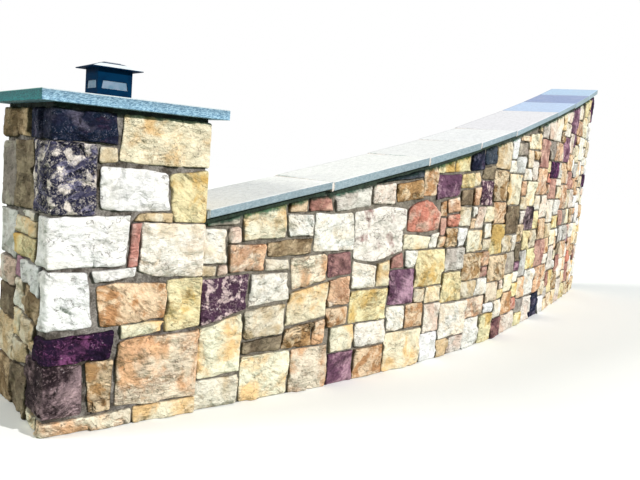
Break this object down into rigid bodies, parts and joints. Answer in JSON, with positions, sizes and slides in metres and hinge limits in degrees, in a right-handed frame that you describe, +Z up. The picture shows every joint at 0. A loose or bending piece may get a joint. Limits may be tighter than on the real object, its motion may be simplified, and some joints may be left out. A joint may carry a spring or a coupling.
{
  "type": "fieldstone retaining wall",
  "caption": "Curved, climbing fieldstone retaining wall with sloped bluestone coping, starting at a square stone pier with a slab cap and a black solar pier light.",
  "frame": {"origin": "centre of the pier's foot, at the lowest ground level", "axes": "+X along the pier's front face, the way the wall leaves the pier, +Y from the planted front face to the back, +Z up"},
  "size_m": [6.3909, 2.1485, 2.2308],
  "materials": {
    "fieldstone": "split fieldstone in cream, tan, orange, purple and grey, laid in recessed grey-brown mortar",
    "bluestone": "blue-grey slab with thermal top and rough sawn edge",
    "mortar": "light grey cement mortar, struck slightly below the stone",
    "black_housing": "satin black moulded housing",
    "frosted_pane": "frosted translucent pane with fine upright ribs",
    "solar_panel": "dark solar cell under a clear glossy skin",
    "light_unit": "pale moulded battery and light housing"
  },
  "bodies": {
    "root": {"pier_masonry": "fieldstone", "pier_cap": "bluestone", "wall_bay_1": "fieldstone", "coping_slab_1": "bluestone", "coping_joint_1": "mortar", "wall_bay_2": "fieldstone", "coping_slab_2": "bluestone", "coping_joint_2": "mortar", "wall_bay_3": "fieldstone", "coping_slab_3": "bluestone", "coping_joint_3": "mortar", "wall_bay_4": "fieldstone", "coping_slab_4": "bluestone", "coping_joint_4": "mortar", "wall_bay_5": "fieldstone", "coping_slab_5": "bluestone", "coping_joint_5": "mortar", "wall_bay_6": "fieldstone", "coping_slab_6": "bluestone", "coping_joint_6": "mortar", "wall_bay_7": "fieldstone", "coping_slab_7": "bluestone", "coping_joint_7": "mortar", "wall_bay_8": "fieldstone", "coping_slab_8": "bluestone", "coping_joint_8": "mortar", "lamp_base": "black_housing", "lamp_body": "black_housing", "lamp_pane_front": "frosted_pane", "lamp_pane_right": "frosted_pane", "lamp_pane_back": "frosted_pane", "lamp_pane_left": "frosted_pane", "lamp_roof": "black_housing", "lamp_solar_panel": "solar_panel", "lamp_light_unit": "light_unit"}
  },
  "joints": []
}
